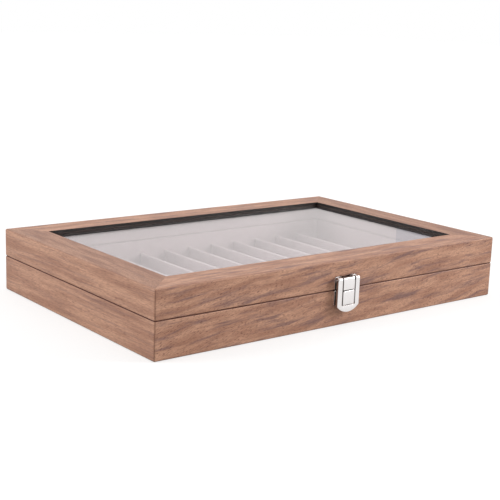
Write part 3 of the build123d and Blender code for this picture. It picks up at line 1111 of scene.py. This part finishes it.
@dataclass
class BoxLatch:
    """The latch: the plates, the stamped flap, its pin and the screws."""

    dresser: Dresser
    sheet: float = 0.6
    rim: float = 0.8
    rim_depth: float = 2.3
    lip: float = 0.2
    half_window: float = 6.6
    window_bottom: float = 16.8
    shoulder_rise: float = 5.0
    barrel: float = 1.9
    easing: float = 0.65
    plate: float = 1.4
    half_block: float = 5.65
    block_easing: float = 0.4
    ear_dip: float = 1.4
    tip_points: int = 41
    side_points: int = 12
    screw: CrossScrew = CrossScrew(1.1, 0.6, 7.8, 0.25, 0.45, 0.25)

    def build(self) -> None:
        """Dress the plates, and make the flap, pin and screws."""
        dresser = self.dresser
        dresser.new(self.lid_plate(), dresser.pressing, "lid")
        dresser.new(self.base_plate(), dresser.pressing, "base")
        dresser.new(self.flap(), dresser.stamping, "latch_flap")
        dresser.new(self.pin(), dresser.nickel, "lid")
        for where in ("base", "lid"):
            dresser.new(self.screws(where), dresser.nickel, where)

    def outline(self) -> tuple[np.ndarray, np.ndarray]:
        """Follow the flap from the top of one arm round the tip to the top of the other.

        The outer line is two straight sides and a circular tip; the inner line is the window's
        two sides and its sill, and each outer point has an inner partner.

        Returns:
            The outer and inner points, each an array of points by 2 (x and z).
        """
        low, high = node_box("latch_flap")
        half = float(high[0])
        top = float(high[2]) - self.barrel
        tip, shoulder = float(low[2]), float(low[2]) + self.shoulder_rise
        sag = shoulder - tip
        radius = (half**2 + sag**2) / (2 * sag)
        reach = math.asin(half / radius)
        turn = np.linspace(-reach, reach, self.tip_points)
        arc = np.stack([radius * np.sin(turn), tip + radius * (1 - np.cos(turn))], -1)
        outer_side = self.side(-half, top, shoulder)
        inner_side = self.side(-self.half_window, top, self.window_bottom)
        share = np.linspace(-1, 1, self.tip_points)
        sill = np.stack([share * self.half_window, np.full_like(share, self.window_bottom)], -1)
        mirror = np.array([-1, 1])
        outer = np.concatenate([outer_side, arc, outer_side[::-1] * mirror])
        return outer, np.concatenate([inner_side, sill, inner_side[::-1] * mirror])

    def side(self, x: float, top: float, foot: float) -> np.ndarray:
        """The points straight down one side of an arm, without the one at its foot.

        Args:
            x: where the side is.
            top: the height of its first point.
            foot: the height that it stops short of.

        Returns:
            An array of points by 2 (x and z).
        """
        drop = np.linspace(top, foot, self.side_points, endpoint=False)
        return np.stack([np.full_like(drop, x), drop], -1)

    def flap(self) -> bpy.types.Object:
        """Carry the stamped section round the flap, and close each arm over the pin.

        At each place the section starts at the rim's back edge, comes forward round the eased
        corner, crosses the face to the window, and returns behind the sheet.

        Returns:
            The flap.
        """
        low, high = node_box("latch_flap")
        face, back = float(low[1]), float(low[1]) + self.rim_depth
        outer, inner = self.outline()
        gap = inner - outer
        inward = gap / np.linalg.norm(gap, axis=1, keepdims=True)
        turn = np.radians(np.linspace(0, 90, 5))
        corner_in = self.easing * (1 - np.cos(turn))
        corner_y = face + self.easing * (1 - np.sin(turn))
        lip, inside = self.lip, face + self.sheet
        front = [(0.0, back), *zip(corner_in, corner_y)]
        window = [(-lip, face), (-lip * 0.3, face + lip * 0.3), (0.0, face + lip), (0.0, inside)]
        behind = [(self.rim, inside), (self.rim, back)]
        lines = [
            self.ring(line, inward, distance, y)
            for line, places in ((outer, front), (inner, window), (outer, behind))
            for distance, y in places
        ]
        shells = [Shell.loft(np.stack(lines, 1))]
        axis_y, axis_z = face + self.barrel, float(high[2]) - self.barrel
        shells += [self.knuckle(sign, float(high[0]), axis_y, axis_z) for sign in (-1, 1)]
        return stand_in("latch_flap", "stamped", shells, 35)

    def ring(self, line: np.ndarray, inward: np.ndarray, distance: float, y: float) -> np.ndarray:
        """The line moved inwards by a distance, at a depth y."""
        flat = line + inward * distance
        return np.stack([flat[:, 0], np.full(len(flat), y), flat[:, 1]], -1)

    def knuckle(self, sign: int, half: float, axis_y: float, axis_z: float) -> Shell:
        """Turn one arm's rolled end about the pin, with a sunk hole on its outer side.

        Args:
            sign: -1 for the left arm and +1 for the right.
            half: half of the flap's width.
            axis_y: the pin's place from front to back.
            axis_z: the pin's height.

        Returns:
            The knuckle.
        """
        r, start = self.barrel, self.half_window
        bore, sunk = 0.05, half - 0.5
        profile = np.array([
            (bore, start), (r - 0.3, start), (r - 0.08, start + 0.08), (r, start + 0.3),
            (r, half - 0.55), (r - 0.15, half - 0.17), (r - 0.5, half), (0.85, half),
            (0.74, half - 0.08), (0.66, sunk), (bore, sunk),
        ])
        return Shell.turned(profile * np.array([1, sign]), axis_y, axis_z, 40)

    def sheet_plate(self, loop: np.ndarray, wall: float) -> Shell:
        """Carry a plate's outline forward from the wall, drawn in over the eased front edge.

        Args:
            loop: the outline's points by 2 (x and z), anticlockwise from the front.
            wall: the wall's place from front to back.

        Returns:
            The plate.
        """
        step = np.roll(loop, -1, axis=0) - np.roll(loop, 1, axis=0)
        across = np.stack([-step[:, 1], step[:, 0]], -1)
        inward = across / np.linalg.norm(step, axis=1, keepdims=True)
        front = wall - self.plate
        stations = [(0.0, wall), (0.0, front + 0.3), (0.09, front + 0.09), (0.3, front)]
        return Shell.loft(np.stack([self.ring(loop, inward, d, y) for d, y in stations]))

    def block(self, section: np.ndarray) -> Shell:
        """Carry a block's upright section along X, drawn in at both eased ends.

        Args:
            section: the section's points by 2 (y and z).

        Returns:
            The block.
        """
        places, drawn = eased_ends(2 * self.half_block, self.block_easing, 6)
        middle = (section.min(axis=0) + section.max(axis=0)) / 2
        half = (section.max(axis=0) - section.min(axis=0)) / 2
        rings = np.zeros((len(places), len(section), 3))
        rings[..., 0] = places[:, None]
        rings[..., 1:] = middle + drawn_in(section - middle, half, drawn)
        return Shell.loft(rings)

    def lid_plate(self) -> bpy.types.Object:
        """The lid's plate, with two ears above a dip, and the block that holds the pin.

        The plate's upper edge rises from the dip to the ears by a smooth step.

        Returns:
            The plate.
        """
        low, high = node_box("latch_lid_plate")
        half, wall = float(high[0]), float(high[1])
        rise = np.linspace(half - 1.0, -(half - 1.0), 61)
        step = np.clip((np.abs(rise) - 2.9) / 2.2, 0, 1)
        upper = high[2] - self.ear_dip * (1 - step * step * (3 - 2 * step))
        turn = np.radians(np.linspace(0, 90, 5))
        corner = np.stack([half - 1 + np.cos(turn), high[2] - 1 + np.sin(turn)], -1)
        mirrored = corner[::-1] * np.array([-1, 1])
        top = np.stack([rise, upper], -1)[1:-1]
        foot = np.array([(-half, low[2]), (half, low[2])])
        plate = self.sheet_plate(np.concatenate([foot, corner, top, mirrored]), wall)
        r, ease = self.barrel, self.block_easing
        axis_y, axis_z = float(low[1]) + r, float(high[2]) - 0.2 - r
        over = np.radians(np.linspace(180, 0, 13))
        arc = np.stack([axis_y + r * np.cos(over), axis_z + r * np.sin(over)], -1)
        under = np.radians(np.linspace(270, 180, 5))
        heel_y, heel_z = low[1] + ease, low[2] + ease
        sole = np.stack([heel_y + ease * np.cos(under), heel_z + ease * np.sin(under)], -1)
        sunk = wall - self.plate + 0.3
        back = np.array([(sunk, axis_z - 0.6), (sunk, low[2])])
        shells = [plate, self.block(np.concatenate([sole, arc, back]))]
        return stand_in("latch_lid_plate", "pressed", shells, 40)

    def base_plate(self) -> bpy.types.Object:
        """The base's plate, with the catch block flush with the flap's face.

        Returns:
            The plate.
        """
        low, high = node_box("latch_base_plate")
        half, wall = float(high[0]), float(high[1])
        middle = np.array([0.0, (low[2] + high[2]) / 2])
        loop = rounded_loop(2 * half, float(high[2] - low[2]), (1.0, 1.0, 0.15, 0.15)) + middle
        face = float(node_box("latch_flap")[0][1])
        bottom = self.window_bottom + 0.2
        deep, tall = wall - self.plate + 0.3 - face, float(high[2]) - bottom
        section = rounded_loop(deep, tall, (self.block_easing, 0.05, 0.05, self.block_easing))
        section = section + np.array([face + deep / 2, bottom + tall / 2])
        shells = [self.sheet_plate(loop, wall), self.block(section)]
        return stand_in("latch_base_plate", "pressed", shells, 40)

    def pin(self) -> bpy.types.Object:
        """A pin with domed ends that stop inside the knuckles' holes.

        Returns:
            The pin.
        """
        low, high = node_box("latch_pin")
        middle = (low + high) / 2
        radius, half = float(high[2] - low[2]) / 2, float(high[0])
        end = np.array([(0.1, half - 0.3), (0.4, half - 0.36), (radius, half - 0.55)])
        profile = np.concatenate([end * np.array([1, -1]), end[::-1]])
        shell = Shell.turned(profile, middle[1], middle[2], 24)
        return stand_in("latch_pin", "domed", [shell], 50)

    def screws(self, where: str) -> bpy.types.Object:
        """Make the two domed screws of one plate.

        Args:
            where: the body, base or lid.

        Returns:
            The screws.
        """
        node = f"latch_{where}_screws"
        low, high = node_box(node)
        z, x = float(low[2] + high[2]) / 2, float(high[0]) - self.screw.head_radius
        plate = float(low[1]) + 0.5
        shells = [
            self.screw.shell((sign * x, plate, z), (0, -1, 0), 0.7 * sign) for sign in (-1, 1)
        ]
        return stand_in(node, "cross", shells, 50)


# ---------------------------------------------------------------- studio


@dataclass(frozen=True)
class SoftLamp:
    """A large soft lamp, in metres and watts."""

    name: str
    place: Triple
    aim: Triple
    size: Pair
    power: float

    def build(self) -> None:
        """Hang the lamp and turn it to its aim."""
        data = bpy.data.lights.new(self.name, "AREA")
        data.shape = "RECTANGLE"
        data.size, data.size_y = self.size
        data.energy = self.power
        lamp = bpy.data.objects.new(self.name, data)
        lamp.location = self.place
        look = Vector(self.aim) - Vector(self.place)
        lamp.rotation_euler = look.to_track_quat("-Z", "Y").to_euler()
        lamp.visible_camera = False
        bpy.context.scene.collection.objects.link(lamp)
        log.info("lamp %s, %.1f W", self.name, self.power)


@dataclass
class Studio:
    """The white floor and surroundings, the lamps and the camera.

    The camera's place is in millimetres and its roll in degrees. The rest is in metres.
    """

    camera_place: Triple = (-544.59, -681.75, 231.94)
    look: Triple = (0.6063, 0.7643, -0.2196)
    roll: float = 2.07
    lens: float = 78.22
    surround: float = 0.6
    mirrored: Triple = (1.0, 0.95, 0.945)
    card_colour: Triple = (0.74, 0.74, 0.79)
    floor_colour: Triple = (0.45, 0.45, 0.45)
    floor_half: float = 6.0
    floor_drop: float = 0.0002
    card_left: Pair = (1.837, 1.602)
    card_right: Pair = (2.223, 1.115)
    card_heights: Pair = (0.02, 1.6)
    lamps: tuple[SoftLamp, ...] = (
        SoftLamp("overhead_softbox", (-0.2, 0.4, 1.7), (0, 0, 0), (2.0, 1.6), 3.5),
        SoftLamp("right_softbox", (1.15, -0.9, 0.7), (0.07, 0, 0), (0.55, 0.55), 14.0),
        SoftLamp("left_softbox", (-1.5, 0.7, 0.8), (0, 0, 0), (1.0, 1.0), 14.5),
    )

    def build(self) -> None:
        """Make the floor, the white surroundings, the lamps and the camera."""
        self.floor()
        self.surroundings()
        self.card()
        for lamp in self.lamps:
            lamp.build()
        self.camera()
        bpy.context.scene.view_settings.view_transform = "Standard"

    def floor(self) -> None:
        """A wide level floor, white to the camera, that keeps the case's shadow."""
        half = self.floor_half
        corners = [(-half, -half, 0), (half, -half, 0), (half, half, 0), (-half, half, 0)]
        floor, graph = self.flat("floor", corners, "floor_white")
        floor.location.z = -self.floor_drop
        x, y, _ = graph.place()
        away = abs(x).larger(abs(y)).ramp(350, 900)
        lift = graph.tint(away, (0.62, 0.62, 0.62), (0.78, 0.78, 0.78))
        matt = graph.add("ShaderNodeBsdfDiffuse", inputs={"Color": opaque(self.floor_colour)})
        both = graph.add("ShaderNodeAddShader", inputs={0: matt, 1: graph.glow(lift)})
        inputs = {0: self.seen(graph), 1: matt, 2: both}
        graph.surface(graph.add("ShaderNodeMixShader", inputs=inputs))
        floor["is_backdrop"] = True

    def flat(self, name: str, corners: list[Triple], finish: str) -> tuple[bpy.types.Object, Graph]:
        """Make a stage object of one flat face.

        Args:
            name: the object's name.
            corners: the face's four corners, in metres.
            finish: its material's name.

        Returns:
            The object, and the material's empty graph.
        """
        mesh = bpy.data.meshes.new(name)
        mesh.from_pydata(corners, [], [(0, 1, 2, 3)])
        material = bpy.data.materials.new(finish)
        mesh.materials.append(material)
        made = bpy.data.objects.new(name, mesh)
        bpy.context.scene.collection.objects.link(made)
        return made, Graph(material)

    def seen(self, graph: Graph) -> Wire:
        """A mask: one for rays that show a surface directly, in a mirror or through glass.

        Args:
            graph: the graph to write into.

        Returns:
            The mask, which is zero for light.
        """
        camera, glossy, through = graph.rays("Camera", "Glossy", "Transmission")
        return camera.larger(glossy).larger(through)

    def surroundings(self) -> None:
        """A world that is white to the camera, faintly warm in mirrors and gentler as light."""
        world = bpy.data.worlds.new("white_studio")
        bpy.context.scene.world = world
        graph = Graph(world)
        light = graph.background((1.0, 1.0, 1.0), self.surround)
        mirrored = graph.background(self.mirrored, 1.0)
        white = graph.background((1.0, 1.0, 1.0), 1.0)
        (glossy,) = graph.rays("Glossy")
        shown = graph.add("ShaderNodeMixShader", inputs={0: glossy, 1: white, 2: mirrored})
        inputs = {0: self.seen(graph), 1: light, 2: shown}
        graph.surface(graph.add("ShaderNodeMixShader", inputs=inputs))

    def card(self) -> None:
        """A tall cool grey card far behind the case, seen only as a patch mirrored in the glass."""
        left, right = self.card_left, self.card_right
        low, high = self.card_heights
        corners = [(*left, low), (*right, low), (*right, high), (*left, high)]
        card, graph = self.flat("mirrored_card", corners, "card_grey")
        graph.surface(graph.glow(self.card_colour))
        for ray in ("camera", "diffuse", "transmission", "volume_scatter", "shadow"):
            setattr(card, f"visible_{ray}", False)
        card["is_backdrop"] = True

    def camera(self) -> None:
        """Place the camera by its look direction and roll."""
        data = bpy.data.cameras.new("camera")
        data.lens, data.sensor_width = self.lens, 36.0
        data.clip_start, data.clip_end = 0.01, 50.0
        look = Vector(self.look).normalized()
        level = look.cross(Vector((0, 0, 1))).normalized()
        rise = level.cross(look)
        turn = math.radians(self.roll)
        right = level * math.cos(turn) + rise * math.sin(turn)
        up = rise * math.cos(turn) - level * math.sin(turn)
        camera = bpy.data.objects.new("camera", data)
        place = Vector(self.camera_place) * MM
        facing = Matrix((right, up, -look)).transposed().to_4x4()
        camera.matrix_world = Matrix.Translation(place) @ facing
        bpy.context.scene.collection.objects.link(camera)
        bpy.context.scene.camera = camera


def veneers(case_top: float) -> tuple[Walnut, Walnut]:
    """The veneer of the long sides and of the ends.

    Args:
        case_top: the height of the lid's top.

    Returns:
        The veneer along X and the veneer along Y.
    """
    front_low, front_high = node_box("lid_front_rail")
    half_case = tuple(float(size) for size in front_low[:2] * -1)
    half_window = (-float(node_box("lid_left_rail")[1][0]), -float(front_high[1]))
    faces = (half_case, half_window, case_top, float(node_box("base_front_wall")[1][2]))
    long_sides = Walnut(
        Grain.ALONG_X,
        *faces,
        lean=(0.11, 0.03),
        sway=(9, 5),
        stretch=(1, 1),
        twist=(0.16, 0.05),
        mottle=(0.5, 0.3),
        bold=(0.8, 0.35),
        tone_and_face_shade=(1.06, 0.96),
        depth=0.8,
        streak=4.4,
    )
    ends = Walnut(
        Grain.ALONG_Y,
        *faces,
        lean=(-0.02, 0.02),
        sway=(2.5, 6),
        stretch=(2, 1.2),
        twist=(-0.03, 0.25),
        mottle=(0.35, 0.8),
        bold=(0.5, 0.4),
        tone_and_face_shade=(0.97, 0.77),
        streak=2.2,
        depth=0.42,
    )
    return long_sides, ends


def latch_metals() -> tuple[Nickel, Nickel]:
    """The flap's nickel and the plates' nickel, which both have shade painted in the latch's gaps.
    """
    low, high = node_box("latch_flap")
    face, knuckle = float(low[1]), float(high[2]) - 2.6
    plate = float(node_box("latch_base_plate")[1][1]) - 1.6
    flap = LatchDepths(hidden=face + 0.7, plate=plate, knuckle=knuckle, blocks=0.0)
    plates = LatchDepths(hidden=face + 0.5, plate=plate, knuckle=knuckle, blocks=1.0)
    stamping = Nickel("nickel_stamping", painted_shade=(0.36, 0.335, 0.325), latch=flap)
    return stamping, Nickel("nickel_pressing", latch=plates)


def main() -> None:
    """Build every sub-assembly in order."""
    logging.basicConfig(level=logging.INFO, format="%(name)s: %(message)s")
    case_box = [list(corner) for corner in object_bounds()]
    long_sides, ends = veneers(case_box[1][2] / MM)
    stamping, pressing = latch_metals()
    dresser = Dresser(
        walnut_x=long_sides.material(),
        walnut_y=ends.material(),
        paint=BlackPaint().material(),
        glass=WindowGlass().material(),
        velvet=Velvet().material(),
        felt=Felt().material(),
        board=Fibreboard().material(),
        nickel=Nickel().material(),
        stamping=stamping.material(),
        pressing=pressing.material(),
    )
    Studio().build()
    for assembly in (CaseBase(dresser), GlassLid(dresser), ButtHinges(dresser), BoxLatch(dresser)):
        assembly.build()
        log.info("%s is dressed", type(assembly).__name__)


if __name__ == "__main__":
    main()
